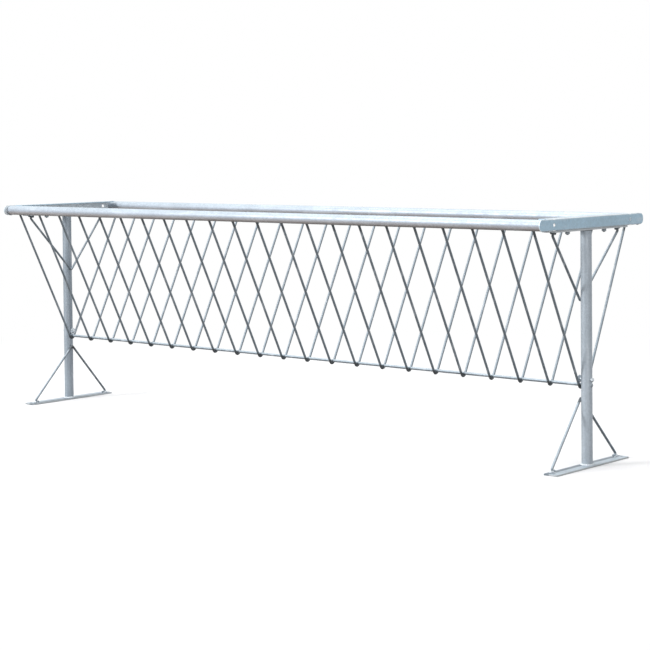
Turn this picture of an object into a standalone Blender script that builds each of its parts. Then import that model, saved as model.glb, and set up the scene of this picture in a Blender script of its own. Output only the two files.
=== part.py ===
# Free-standing double-sided hay rack in galvanised steel.
#
# Two bolted stands (post, base plate, head plate and two bent braces each) carry a trough.
# The trough is two tube rails, two channel end members, a bottom bar and a row of V bars.
# Metres, +Z up, +X along the rails, -Y towards the front. The origin is on the ground,
# midway between the stands.

import math

import bmesh
import bpy
from mathutils import Matrix, Vector

# Whole rack
post_spacing = 2.934          # between the axes of the two posts
post_inset = 0.033            # outer face of an end member to its post's axis
rail_spacing = 0.636          # between the axes of the two rails
rail_height = 0.920           # ground to the rail axes
bar_height = 0.307            # ground to the axis of the bottom bar

# Tubes
rail_diameter = 0.0424
rail_wall = 0.0020
post_diameter = 0.0424
post_wall = 0.0026

# Round bars
v_bar_count = 22
v_bar_diameter = 0.010
bottom_bar_diameter = 0.012
bottom_bar_stand_out = 0.003  # past the outer side of a post
brace_diameter = 0.010
brace_bend_radius = 0.007     # centre line of the bent bar
brace_hook_length = 0.025     # flat end that lies on a plate
foot_brace_spread = 0.452     # between the outer bends
foot_brace_apex = 0.258
foot_hook_inset = 0.012       # from the post's axis towards the middle of the rack
upper_brace_spread = 0.460
upper_brace_apex = 0.622
upper_hook_inset = 0.0

# The last V bar's rear leg is sprung round the back of its post
sprung_leg_start = 0.005      # above the bottom bar's axis
sprung_leg_rise = 0.050       # over which it swings clear of the post
sprung_leg_low = 0.019        # sideways at the post
sprung_leg_top = 0.007        # sideways at the rail

# End members: folded channels, web outward
channel_height = 0.045
channel_flange = 0.050
channel_thickness = 0.004
channel_bend_radius = 0.006   # outside of the fold
end_overhang = 0.0158         # web past the outer side of a rail
flange_setback = 0.0068       # flange short of the inner side of a rail
web_hole_diameter = 0.014
web_hole_inset = 0.095        # from the rounded tip of the web

# Flat bars at the top and foot of each stand
plate_length = 0.500
plate_width = 0.060
base_thickness = 0.006
head_thickness = 0.006
plate_corner_radius = 0.006
anchor_hole_diameter = 0.012
anchor_hole_inset = 0.020     # from the plate's end
anchor_hole_offset = 0.007    # from the post's axis, away from the middle of the rack

# Fasteners, as shank diameter, width across flats, and heights
flange_bolt = {"shank": 0.010, "flats": 0.017, "head": 0.0064, "nut": 0.0084, "length": 0.025}
flange_washer = {"outer": 0.020, "bore": 0.0105, "thickness": 0.0020}
flange_bolt_pitch = 0.250     # between the two bolts of one end
flange_bolt_hole = 0.011
post_bolt = {"shank": 0.008, "flats": 0.013, "head": 0.0053, "nut": 0.0068, "length": 0.070}
post_bolt_hole = 0.009
head_washer = {"outer": 0.016, "bore": 0.0084, "thickness": 0.0016}
clamp_washer = {"outer": 0.030, "bore": 0.0086, "thickness": 0.0020}
chamfer = 0.0006              # on bolt heads, nuts and shank tips

# Fits
seat = 0.0003                 # between pieces that touch
bar_hole_clearance = 0.0004   # round the bottom bar in a post
bore_clearance = 0.0002       # round a shank in its nut
clamp_washer_gap = 0.0005     # between the clamp washer's rim and the bottom bar

# Facets of the round shapes
tube_facets = 48
drill_facets = 32
plate_hole_facets = 24
washer_facets = 32
shank_facets = 24
bend_facets = 6               # along each bend of a round bar
sprung_leg_facets = 7         # along the swing of the sprung leg
fold_facets = 5
web_tip_facets = 16
plate_corner_facets = 4
smooth_angle = math.radians(35)
weld_distance = 0.00001

# Places worked out from the sizes above
post_x = post_spacing / 2
web_outer_x = post_x + post_inset
web_inner_x = web_outer_x - channel_thickness
channel_bottom = rail_height - channel_height / 2
channel_length = rail_spacing + rail_diameter + 2 * end_overhang
flange_length = rail_spacing - rail_diameter - 2 * flange_setback
head_top = channel_bottom - seat
head_bottom = head_top - head_thickness
post_top = head_bottom - seat
post_foot = base_thickness + seat
post_bolt_height = bar_height + (bottom_bar_diameter + clamp_washer["outer"]) / 2 + clamp_washer_gap
side_x = post_x - post_diameter / 2 - seat    # plane that bars against a post's inner side touch
v_bar_end_x = side_x - v_bar_diameter / 2
v_bar_spacing = 2 * v_bar_end_x / (v_bar_count - 1)
v_bend_radius = (bottom_bar_diameter + v_bar_diameter) / 2 + seat
v_top_distance = math.hypot(rail_spacing / 2, rail_height - bar_height)
v_lean = math.atan2(rail_spacing / 2, rail_height - bar_height) - math.asin(v_bend_radius / v_top_distance)
v_leg_length = math.sqrt(v_top_distance ** 2 - v_bend_radius ** 2) - rail_diameter / 2 - seat

ends = {"left": -1, "right": 1}
sides = {"front": -1, "rear": 1}


def remove_existing_objects():
    for old in list(bpy.data.objects):
        bpy.data.objects.remove(old, do_unlink=True)


def new_collection(name):
    collection = bpy.data.collections.new(name)
    bpy.context.scene.collection.children.link(collection)
    return collection


def new_material(name, colour, roughness, metallic):
    material = bpy.data.materials.new(name)
    material.use_nodes = True
    shader = material.node_tree.nodes["Principled BSDF"]
    shader.inputs["Base Color"].default_value = (*colour, 1.0)
    shader.inputs["Roughness"].default_value = roughness
    shader.inputs["Metallic"].default_value = metallic
    return material


remove_existing_objects()
rack = new_collection("hay_rack")
cutters = new_collection("cutters")

tube_zinc = new_material("galvanised_tube", (0.55, 0.60, 0.66), 0.45, 0.85)
bar_zinc = new_material("galvanised_bar", (0.34, 0.39, 0.43), 0.50, 0.85)
flat_zinc = new_material("galvanised_flat", (0.45, 0.52, 0.58), 0.50, 0.85)
bolt_zinc = new_material("plated_fastener", (0.66, 0.68, 0.70), 0.35, 0.95)


def add_object(name, data, material, collection=rack):
    if material is not None:
        data.materials.append(material)
    new = bpy.data.objects.new(name, data)
    collection.objects.link(new)
    return new


def shade_round(mesh):
    mesh.shade_smooth()
    mesh.set_sharp_from_angle(angle=smooth_angle)


def mesh_copy(source, name):
    """Evaluated mesh of an object, in world space, with its loose caps welded."""
    bpy.context.view_layer.update()
    graph = bpy.context.evaluated_depsgraph_get()
    mesh = bpy.data.meshes.new_from_object(source.evaluated_get(graph))
    mesh.name = name
    mesh.transform(source.matrix_world)
    work = bmesh.new()
    work.from_mesh(mesh)
    bmesh.ops.remove_doubles(work, verts=work.verts, dist=weld_distance)
    bmesh.ops.recalc_face_normals(work, faces=work.faces)
    work.to_mesh(mesh)
    work.free()
    return mesh


def turned(name, profile, material, facets, closed=False, collection=rack):
    """Profile of (radius, height) points revolved about Z by a Screw modifier, then made a mesh."""
    mesh = bpy.data.meshes.new(name + "_profile")
    count = len(profile)
    edges = [(i, (i + 1) % count) for i in range(count if closed else count - 1)]
    mesh.from_pydata([(r, 0.0, z) for r, z in profile], edges, [])
    spun = add_object(name + "_profile", mesh, None)
    screw = spun.modifiers.new("revolve", "SCREW")
    screw.steps = facets
    screw.render_steps = facets
    screw.use_merge_vertices = True
    screw.merge_threshold = weld_distance
    finished = mesh_copy(spun, name)
    bpy.data.objects.remove(spun, do_unlink=True)
    shade_round(finished)
    return add_object(name, finished, material, collection)


def tube_profile(outer_radius, wall, length):
    """Runs down the outer side, then back up the bore."""
    inner_radius = outer_radius - wall
    top = length / 2
    return [(outer_radius, top), (outer_radius, -top), (inner_radius, -top), (inner_radius, top)]


def axis_to(direction):
    """Rotation that turns +Z to the given direction."""
    return Vector(direction).to_track_quat("Z", "Y").to_euler()


def cylinder_cutter(name, diameter, length, place, direction, facets=drill_facets):
    mesh = bpy.data.meshes.new(name)
    work = bmesh.new()
    radius = diameter / 2
    size = {"radius1": radius, "radius2": radius, "depth": length}
    bmesh.ops.create_cone(work, cap_ends=True, segments=facets, **size)
    work.to_mesh(mesh)
    work.free()
    cutter = add_object(name, mesh, None, cutters)
    cutter.location = place
    cutter.rotation_euler = axis_to(direction)
    return hide_cutter(cutter)


def hide_cutter(cutter):
    cutter.hide_render = True
    cutter.display_type = "WIRE"
    return cutter


def combine(target, other, operation):
    boolean = target.modifiers.new(operation.lower() + "_" + other.name, "BOOLEAN")
    boolean.operation = operation
    boolean.solver = "EXACT"
    boolean.object = other


def cut(target, cutter):
    combine(target, cutter, "DIFFERENCE")


def cut_together(target, shapes):
    """One Boolean takes all the shapes away, so that no cut starts from a rounded result."""
    group = bpy.data.collections.new(target.name + "_cutters")
    cutters.children.link(group)
    for shape in shapes:
        cutters.objects.unlink(shape)
        group.objects.link(shape)
    boolean = target.modifiers.new("difference_" + group.name, "BOOLEAN")
    boolean.operation = "DIFFERENCE"
    boolean.solver = "EXACT"
    boolean.operand_type = "COLLECTION"
    boolean.collection = group


def arc(centre, radius, start, end, pieces):
    """Points on an arc in a plane, angles in radians, both ends included."""
    angles = [start + (end - start) * i / pieces for i in range(pieces + 1)]
    return [(centre[0] + radius * math.cos(a), centre[1] + radius * math.sin(a)) for a in angles]


def flat_shape(name, outlines, thickness, material, collection=rack):
    """Filled 2D curve: the first outline is the edge and the others are holes."""
    curve = bpy.data.curves.new(name, "CURVE")
    curve.dimensions = "2D"
    curve.fill_mode = "BOTH"
    curve.extrude = thickness / 2
    for outline in outlines:
        spline = curve.splines.new("POLY")
        spline.points.add(len(outline) - 1)
        for point, (u, v) in zip(spline.points, outline):
            point.co = (u, v, 0.0, 1.0)
        spline.use_cyclic_u = True
    return add_object(name, curve, material, collection)


def round_bar(name, points, diameter, material):
    """Bent round bar along a poly line."""
    curve = bpy.data.curves.new(name, "CURVE")
    curve.dimensions = "3D"
    curve.bevel_depth = diameter / 2
    curve.bevel_resolution = 2
    curve.use_fill_caps = True
    spline = curve.splines.new("POLY")
    spline.points.add(len(points) - 1)
    for point, place in zip(spline.points, points):
        point.co = (*place, 1.0)
    spline.use_smooth = True
    return add_object(name, curve, material)


def filleted_path(corners, radius, pieces):
    """Poly line through (y, z) corners with each inner corner rounded to the radius."""
    path = [Vector(corners[0])]
    for before, corner, after in zip(corners, corners[1:], corners[2:]):
        corner = Vector(corner)
        to_before = (Vector(before) - corner).normalized()
        to_after = (Vector(after) - corner).normalized()
        half_angle = to_before.angle(to_after) / 2
        centre = corner + (to_before + to_after).normalized() * radius / math.sin(half_angle)
        first = corner + to_before * radius / math.tan(half_angle) - centre
        last = corner + to_after * radius / math.tan(half_angle) - centre
        sweep = first.angle_signed(last)
        for i in range(pieces + 1):
            turn = Matrix.Rotation(-sweep * i / pieces, 2)
            path.append(centre + turn @ first)
    path.append(Vector(corners[-1]))
    return path


# Rails

def add_rails():
    length = 2 * (web_inner_x - seat)
    for side, sign in sides.items():
        profile = tube_profile(rail_diameter / 2, rail_wall, length)
        rail = turned("rail_" + side, profile, tube_zinc, tube_facets, closed=True)
        rail.location = (0.0, sign * rail_spacing / 2, rail_height)
        rail.rotation_euler = axis_to((1, 0, 0))


# Posts, drilled along X for the bottom bar and the post bolt

def add_posts():
    length = post_top - post_foot
    for end, sign in ends.items():
        profile = tube_profile(post_diameter / 2, post_wall, length)
        post = turned("post_" + end, profile, tube_zinc, tube_facets, closed=True)
        post.location = (sign * post_x, 0.0, post_foot + length / 2)
        bar_hole = bottom_bar_diameter + 2 * bar_hole_clearance
        for job, hole, height in (("bar", bar_hole, bar_height), ("bolt", post_bolt_hole, post_bolt_height)):
            name = "post_" + end + "_" + job + "_hole"
            place = (sign * post_x, 0.0, height)
            cut(post, cylinder_cutter(name, hole, 2 * post_diameter, place, (1, 0, 0)))


# Base plates and head plates

def plate_outline(length, width, radius):
    corner_u = width / 2 - radius
    corner_v = length / 2 - radius
    centres = [(corner_u, corner_v), (-corner_u, corner_v), (-corner_u, -corner_v), (corner_u, -corner_v)]
    outline = []
    for quarter, centre in enumerate(centres):
        start = quarter * math.pi / 2
        outline += arc(centre, radius, start, start + math.pi / 2, plate_corner_facets)
    return outline


def hole_outline(u, v, diameter):
    return arc((u, v), diameter / 2, 0.0, 2 * math.pi, plate_hole_facets)[:-1]


def add_plates():
    outline = plate_outline(plate_length, plate_width, plate_corner_radius)
    anchor_y = plate_length / 2 - anchor_hole_inset
    bolt_y = flange_bolt_pitch / 2
    bolts = [hole_outline(0.0, toward * bolt_y, flange_bolt_hole) for toward in sides.values()]
    for end, sign in ends.items():
        offset = sign * anchor_hole_offset
        anchors = [hole_outline(offset, toward * anchor_y, anchor_hole_diameter) for toward in sides.values()]
        base = flat_shape("base_plate_" + end, [outline] + anchors, base_thickness, flat_zinc)
        base.location = (sign * post_x, 0.0, base_thickness / 2)
        head = flat_shape("head_plate_" + end, [outline] + bolts, head_thickness, flat_zinc)
        head.location = (sign * post_x, 0.0, head_top - head_thickness / 2)


# End members

def channel_outline():
    """C section in (depth, height), web at depth 0, flanges towards +depth."""
    half = channel_height / 2
    outer = channel_bend_radius
    inner = channel_bend_radius - channel_thickness
    fold = channel_bend_radius
    quarter = math.pi / 2
    points = [(channel_flange, half)]
    points += arc((fold, half - fold), outer, quarter, 2 * quarter, fold_facets)
    points += arc((fold, fold - half), outer, 2 * quarter, 3 * quarter, fold_facets)
    points += [(channel_flange, -half), (channel_flange, channel_thickness - half)]
    points += arc((fold, fold - half), inner, 3 * quarter, 2 * quarter, fold_facets)
    points += arc((fold, half - fold), inner, 2 * quarter, quarter, fold_facets)
    points += [(channel_flange, half - channel_thickness)]
    return points


def tip_outline():
    """What is cut off round a tip of the web, in (length, height)."""
    radius = channel_height / 2
    centre = channel_length / 2 - radius
    beyond = channel_length / 2 + radius
    points = [(beyond, -2 * radius), (beyond, 2 * radius), (centre, 2 * radius)]
    points += arc((centre, 0.0), radius, math.pi / 2, -math.pi / 2, web_tip_facets)
    return points + [(centre, -2 * radius)]


def add_end_members():
    notch_length = (channel_length - flange_length) / 2
    for end, sign in ends.items():
        section = flat_shape("channel_section", [channel_outline()], channel_length, flat_zinc)
        section.rotation_euler = (math.pi / 2, 0.0, 0.0)
        mesh = mesh_copy(section, "end_member_" + end)
        bpy.data.objects.remove(section, do_unlink=True)
        member = add_object("end_member_" + end, mesh, None)
        member.location = (sign * web_outer_x, 0.0, rail_height)
        member.rotation_euler = (0.0, 0.0, math.pi if sign > 0 else 0.0)
        depth = 4 * channel_thickness
        shapes = []
        for side, toward in sides.items():
            tag = "_" + end + "_" + side
            notch_y = toward * (flange_length + notch_length + channel_height) / 2
            notch_size = (2 * channel_flange, notch_length + channel_height, 2 * channel_height)
            notch_x = sign * (web_inner_x - channel_flange)
            shapes.append(box_cutter("flange_notch" + tag, notch_size, (notch_x, notch_y, rail_height)))
            shapes.append(tip_cutter("web_tip" + tag, sign, toward))
            hole_y = toward * (channel_length / 2 - web_hole_inset)
            hole_place = (sign * web_outer_x, hole_y, rail_height)
            shapes.append(cylinder_cutter("web_hole" + tag, web_hole_diameter, depth, hole_place, (1, 0, 0)))
            bolt_place = (sign * post_x, toward * flange_bolt_pitch / 2, channel_bottom)
            bolt_hole = cylinder_cutter("flange_hole" + tag, flange_bolt_hole, depth, bolt_place, (0, 0, 1))
            shapes.append(bolt_hole)
        cut_together(member, shapes)


def box_cutter(name, size, place):
    mesh = bpy.data.meshes.new(name)
    work = bmesh.new()
    bmesh.ops.create_cube(work, size=1.0, matrix=Matrix.Diagonal((*size, 1.0)))
    work.to_mesh(mesh)
    work.free()
    cutter = add_object(name, mesh, None, cutters)
    cutter.location = place
    return hide_cutter(cutter)


def tip_cutter(name, sign, toward):
    outline = [(toward * u, v) for u, v in tip_outline()]
    shape = flat_shape(name + "_outline", [outline], 4 * channel_bend_radius, None, cutters)
    shape.rotation_euler = (math.pi / 2, 0.0, math.pi / 2)
    mesh = mesh_copy(shape, name)
    bpy.data.objects.remove(shape, do_unlink=True)
    cutter = add_object(name, mesh, None, cutters)
    cutter.location = (sign * web_outer_x, 0.0, rail_height)
    return hide_cutter(cutter)


# V bars: each hangs under both rails and hooks round the underside of the bottom bar

def v_bar_points():
    """Front leg down, round the bottom bar, rear leg up, as (y, z) points."""
    turn = math.pi / 2 - v_lean
    bend = arc((0.0, bar_height), v_bend_radius, math.pi + v_lean, 2 * math.pi - v_lean, bend_facets)
    reach_y = v_leg_length * math.cos(turn)
    reach_z = v_leg_length * math.sin(turn)
    front = (bend[0][0] - reach_y, bend[0][1] + reach_z)
    rear = (bend[-1][0] + reach_y, bend[-1][1] + reach_z)
    return [front] + bend + [rear]


def sprung_leg_offset(height):
    """Sideways swing of the sprung leg at a height: a smooth step, then a straight run to the rail."""
    above = height - bar_height - sprung_leg_start
    share = min(max(above / sprung_leg_rise, 0.0), 1.0)
    step = share * share * (3 - 2 * share)
    run = max(above - sprung_leg_rise, 0.0) / (rail_height - bar_height - sprung_leg_start - sprung_leg_rise)
    return step * (sprung_leg_low + (sprung_leg_top - sprung_leg_low) * run)


def sprung_v_bar_points():
    plain = v_bar_points()
    (low_y, low_z), (top_y, top_z) = plain[-2:]
    swing = bar_height + sprung_leg_start + sprung_leg_rise - low_z
    heights = [low_z + swing * (i + 1) / sprung_leg_facets for i in range(sprung_leg_facets)] + [top_z]
    points = [(0.0, y, z) for y, z in plain[:-1]]
    for z in heights:
        y = low_y + (top_y - low_y) * (z - low_z) / (top_z - low_z)
        points.append((sprung_leg_offset(z), y, z))
    return points


def add_v_bars():
    shared = round_bar("v_bar_01", [(0.0, y, z) for y, z in v_bar_points()], v_bar_diameter, bar_zinc)
    shared.location.x = -v_bar_end_x
    for number in range(2, v_bar_count):
        copy = bpy.data.objects.new("v_bar_%02d" % number, shared.data)
        rack.objects.link(copy)
        copy.location.x = -v_bar_end_x + (number - 1) * v_bar_spacing
    last = round_bar("v_bar_%02d" % v_bar_count, sprung_v_bar_points(), v_bar_diameter, bar_zinc)
    last.location.x = v_bar_end_x


def add_bottom_bar():
    reach = post_x + post_diameter / 2 + bottom_bar_stand_out
    points = [(-reach, 0.0, bar_height), (reach, 0.0, bar_height)]
    round_bar("bottom_bar", points, bottom_bar_diameter, bar_zinc)


# Braces: each bent bar rests on a post's inner side at its apex and leans out to two hooked ends on a plate

def brace_points(spread, flat_z, apex_z, hook_inset):
    """From one hooked end over the apex to the other, at the right end of the rack."""
    out = spread / 2
    hook = out - brace_hook_length
    corners = [(-hook, flat_z), (-out, flat_z), (0.0, apex_z), (out, flat_z), (hook, flat_z)]
    path = filleted_path(corners, brace_bend_radius, bend_facets)
    bend_x = side_x - brace_diameter / 2
    bend_z = path[len(path) // 2].y
    lean = (post_x - hook_inset - bend_x) / (flat_z - bend_z)
    return [(bend_x + lean * (z - bend_z), y, z) for y, z in path]


def add_braces():
    foot_z = base_thickness + seat + brace_diameter / 2
    head_z = head_bottom - seat - brace_diameter / 2
    foot = brace_points(foot_brace_spread, foot_z, foot_brace_apex, foot_hook_inset)
    upper = brace_points(upper_brace_spread, head_z, upper_brace_apex, upper_hook_inset)
    for end, sign in ends.items():
        for name, points in (("foot_brace_", foot), ("upper_brace_", upper)):
            round_bar(name + end, [(sign * x, y, z) for x, y, z in points], brace_diameter, bar_zinc)


# Fasteners. Each is made along +Z and turned to its place.

def hex_object(name, flats, height, material, chamfer_base):
    """Hexagon from Z = 0 up, with a chamfered rim on top, and below too on a nut."""
    mesh = bpy.data.meshes.new(name)
    work = bmesh.new()
    radius = flats / math.sqrt(3)
    lift = Matrix.Translation((0.0, 0.0, height / 2))
    size = {"radius1": radius, "radius2": radius, "depth": height}
    bmesh.ops.create_cone(work, cap_ends=True, segments=6, matrix=lift, **size)
    top_rim = [e for e in work.edges if all(v.co.z > height / 2 for v in e.verts)]
    base_rim = [e for e in work.edges if all(v.co.z < height / 2 for v in e.verts)]
    rims = top_rim + base_rim if chamfer_base else top_rim
    bmesh.ops.bevel(work, geom=rims, offset=chamfer, segments=1, affect="EDGES")
    work.to_mesh(mesh)
    work.free()
    return add_object(name, mesh, material)


def place_along(new, place, direction):
    new.location = place
    new.rotation_euler = axis_to(direction)


def add_bolt(name, size, place, direction):
    """Hex bolt: the place is under its head, and the direction runs from its tip to its head."""
    radius = size["shank"] / 2
    tip = -size["length"]
    top = size["head"] / 2
    profile = [(0.0, top), (radius, top), (radius, tip + chamfer), (radius - chamfer, tip), (0.0, tip)]
    shank = hide_cutter(turned(name + "_shank", profile, None, shank_facets, collection=cutters))
    bolt = hex_object(name, size["flats"], size["head"], bolt_zinc, False)
    combine(bolt, shank, "UNION")
    place_along(shank, place, direction)
    place_along(bolt, place, direction)


def add_nut(name, size, place, direction):
    """The place is the nut's bearing face, and the direction runs on away from it."""
    nut = hex_object(name, size["flats"], size["nut"], bolt_zinc, True)
    place_along(nut, place, direction)
    middle = Vector(place) + Vector(direction) * size["nut"] / 2
    bore = size["shank"] + 2 * bore_clearance
    cut(nut, cylinder_cutter(name + "_bore", bore, 2 * size["nut"], middle, direction, shank_facets))


def add_washer(name, size, place, direction):
    """The place is the washer's lower face, and the direction is its upper face's."""
    outer = size["outer"] / 2
    bore = size["bore"] / 2
    top = size["thickness"]
    profile = [(outer, top), (outer, 0.0), (bore, 0.0), (bore, top)]
    place_along(turned(name, profile, bolt_zinc, washer_facets, closed=True), place, direction)


def add_flange_fasteners():
    head_seat = channel_bottom + channel_thickness + seat
    washer_seat = head_bottom - seat
    nut_seat = washer_seat - flange_washer["thickness"] - seat
    down = (0, 0, -1)
    for end, sign in ends.items():
        for side, toward in sides.items():
            tag = "_" + end + "_" + side
            x = sign * post_x
            y = toward * flange_bolt_pitch / 2
            add_bolt("flange_bolt" + tag, flange_bolt, (x, y, head_seat), (0, 0, 1))
            add_washer("flange_washer" + tag, flange_washer, (x, y, washer_seat), down)
            add_nut("flange_nut" + tag, flange_bolt, (x, y, nut_seat), down)


def add_post_fasteners():
    washer_seat = post_x + post_diameter / 2 + seat
    head_seat = washer_seat + head_washer["thickness"] + seat
    clamp_seat = v_bar_end_x - v_bar_diameter / 2 - seat
    nut_seat = clamp_seat - clamp_washer["thickness"] - seat
    for end, sign in ends.items():
        z = post_bolt_height
        outward = (sign, 0, 0)
        inward = (-sign, 0, 0)
        add_bolt("post_bolt_" + end, post_bolt, (sign * head_seat, 0.0, z), outward)
        add_washer("head_washer_" + end, head_washer, (sign * washer_seat, 0.0, z), outward)
        add_washer("clamp_washer_" + end, clamp_washer, (sign * clamp_seat, 0.0, z), inward)
        add_nut("post_nut_" + end, post_bolt, (sign * nut_seat, 0.0, z), inward)


add_rails()
add_posts()
add_plates()
add_end_members()
add_v_bars()
add_bottom_bar()
add_braces()
add_flange_fasteners()
add_post_fasteners()
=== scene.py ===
import math

import bmesh
import bpy
import numpy as np
from mathutils import Matrix, Vector


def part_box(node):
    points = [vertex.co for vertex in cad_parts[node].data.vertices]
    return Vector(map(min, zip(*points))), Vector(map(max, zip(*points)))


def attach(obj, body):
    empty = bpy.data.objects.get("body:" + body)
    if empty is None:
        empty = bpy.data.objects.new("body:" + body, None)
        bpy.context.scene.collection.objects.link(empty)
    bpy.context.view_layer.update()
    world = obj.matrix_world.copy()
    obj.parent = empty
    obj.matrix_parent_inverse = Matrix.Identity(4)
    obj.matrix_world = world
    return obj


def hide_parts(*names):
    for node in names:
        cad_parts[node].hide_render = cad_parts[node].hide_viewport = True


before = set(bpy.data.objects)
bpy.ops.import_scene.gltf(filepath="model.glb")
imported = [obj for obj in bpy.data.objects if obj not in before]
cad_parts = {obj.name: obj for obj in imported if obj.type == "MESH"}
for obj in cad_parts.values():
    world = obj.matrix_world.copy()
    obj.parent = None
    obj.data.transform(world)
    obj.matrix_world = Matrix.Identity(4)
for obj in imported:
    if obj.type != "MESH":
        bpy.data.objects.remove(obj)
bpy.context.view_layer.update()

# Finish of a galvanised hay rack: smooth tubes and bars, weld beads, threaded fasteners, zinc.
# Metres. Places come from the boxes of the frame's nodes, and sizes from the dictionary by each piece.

ends = {"left": -1, "right": 1}
sides = {"front": -1, "rear": 1}
print("frame loaded:", len(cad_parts), "nodes")


# Places read from the frame

def middle(node):
    low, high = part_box(node)
    return (np.array(low) + np.array(high)) / 2


def halfSize(node):
    low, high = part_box(node)
    return (np.array(high) - np.array(low)) / 2


railY = middle("rail_rear")[1]
railZ = middle("rail_rear")[2]
railRadius = halfSize("rail_rear")[2]
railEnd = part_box("rail_rear")[1][0]
postX = middle("post_right")[0]
postRadius = halfSize("post_right")[1]
barZ = middle("bottom_bar")[2]
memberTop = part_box("end_member_right")[1][2]
plateFaces = {"foot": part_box("base_plate_right")[1][2], "upper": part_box("head_plate_right")[0][2]}


# Materials. Tones are display colours, 0 to 255, as a person would pick them.

def tone(red, green, blue):
    share = np.array([red, green, blue]) / 255
    linear = np.where(share <= 0.04045, share / 12.92, ((share + 0.055) / 1.055) ** 2.4)
    return (*linear.tolist(), 1.0)


def paintedSlopeShade(under, upright, top):
    # Tones at three slopes of the surface: close to underneath, upright, and close to flat on top. The
    # dark underside is painted shade and the light top is painted light.
    return [(-0.8, tone(*under)), (0.0, tone(*upright)), (0.8, tone(*top))]


def grey(level):
    return (level, level, level, 1.0)


def addNode(tree, kind, inputs=None, **settings):
    # Inputs that are sockets are linked, and other values are set on the node's own sockets.
    new = tree.nodes.new(kind)
    for key, value in settings.items():
        setattr(new, key, value)
    for key, value in (inputs or {}).items():
        if isinstance(value, bpy.types.NodeSocket):
            tree.links.new(value, new.inputs[key])
        else:
            new.inputs[key].default_value = value
    return new


def mathOf(tree, operation, first, second):
    return addNode(tree, "ShaderNodeMath", {0: first, 1: second}, operation=operation).outputs["Value"]


def mixed(tree, blend, factor, first, second):
    # Blend of two colours, the node's inputs 6 and 7, where a factor of 0 leaves the first one.
    inputs = {"Factor": factor, 6: first, 7: second}
    return addNode(tree, "ShaderNodeMix", inputs, data_type="RGBA", blend_type=blend).outputs[2]


def rampOf(tree, factor, stops):
    ramp = addNode(tree, "ShaderNodeValToRGB", {"Fac": factor})
    ramp.color_ramp.interpolation = "EASE"
    elements = ramp.color_ramp.elements
    while len(elements) < len(stops):
        elements.new(0.5)
    for element, (place, colour) in zip(elements, stops):
        element.position = place
        element.color = colour
    return ramp.outputs["Color"]


def greyRamp(tree, factor, levels, first, last):
    # From one grey to another between two levels of the factor.
    return rampOf(tree, factor, [(levels[0], grey(first)), (levels[1], grey(last))])


def stretchedCoordinates(tree, scale):
    place = addNode(tree, "ShaderNodeTexCoord").outputs["Object"]
    return addNode(tree, "ShaderNodeMapping", {"Vector": place, "Scale": scale}).outputs["Vector"]


# Patterns of the zinc coat. A noise is its scale, in cells to a metre, and its detail. Levels are the
# part of the noise that a ramp spreads out. Depths of relief are in metres.

coat = {
    "noiseRoughness": 0.6,
    "cloudNoise": (7.0, 6.0), "cloudLevels": (0.30, 0.70),
    "runNoise": (3.0, 5.0), "runLevels": (0.52, 0.72),
    "speckNoise": (420.0, 3.0), "speckLevels": (0.30, 0.42),
    "polishNoise": (38.0, 4.0), "polishLevels": (0.30, 0.70),
    "waveNoise": (60.0, 2.0), "grainNoise": (900.0, 2.0),
    "depth": {"waves": 0.0006, "relief": 0.0003, "grain": 0.0001},
}


def noiseOf(tree, noise, stretch=(1, 1, 1)):
    inputs = {"Vector": stretchedCoordinates(tree, stretch), "Scale": noise[0], "Detail": noise[1],
              "Roughness": coat["noiseRoughness"]}
    return addNode(tree, "ShaderNodeTexNoise", inputs).outputs["Fac"]


def bandOf(tree, axis, low, high, soft):
    # 1 where the distance from the middle plane of the axis is between low and high, fading over soft
    # outside it. On Z that distance is the height.
    place = addNode(tree, "ShaderNodeTexCoord").outputs["Object"]
    part = addNode(tree, "ShaderNodeSeparateXYZ", {"Vector": place}).outputs[axis]
    away = addNode(tree, "ShaderNodeMath", {0: part}, operation="ABSOLUTE").outputs["Value"]
    rise = {"Value": away, "From Min": low - soft, "From Max": low}
    fall = {"Value": away, "From Min": high, "From Max": high + soft, "To Min": 1.0, "To Max": 0.0}
    up = addNode(tree, "ShaderNodeMapRange", rise, interpolation_type="SMOOTHSTEP")
    down = addNode(tree, "ShaderNodeMapRange", fall, interpolation_type="SMOOTHSTEP")
    return mathOf(tree, "MULTIPLY", up.outputs["Result"], down.outputs["Result"])


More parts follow.
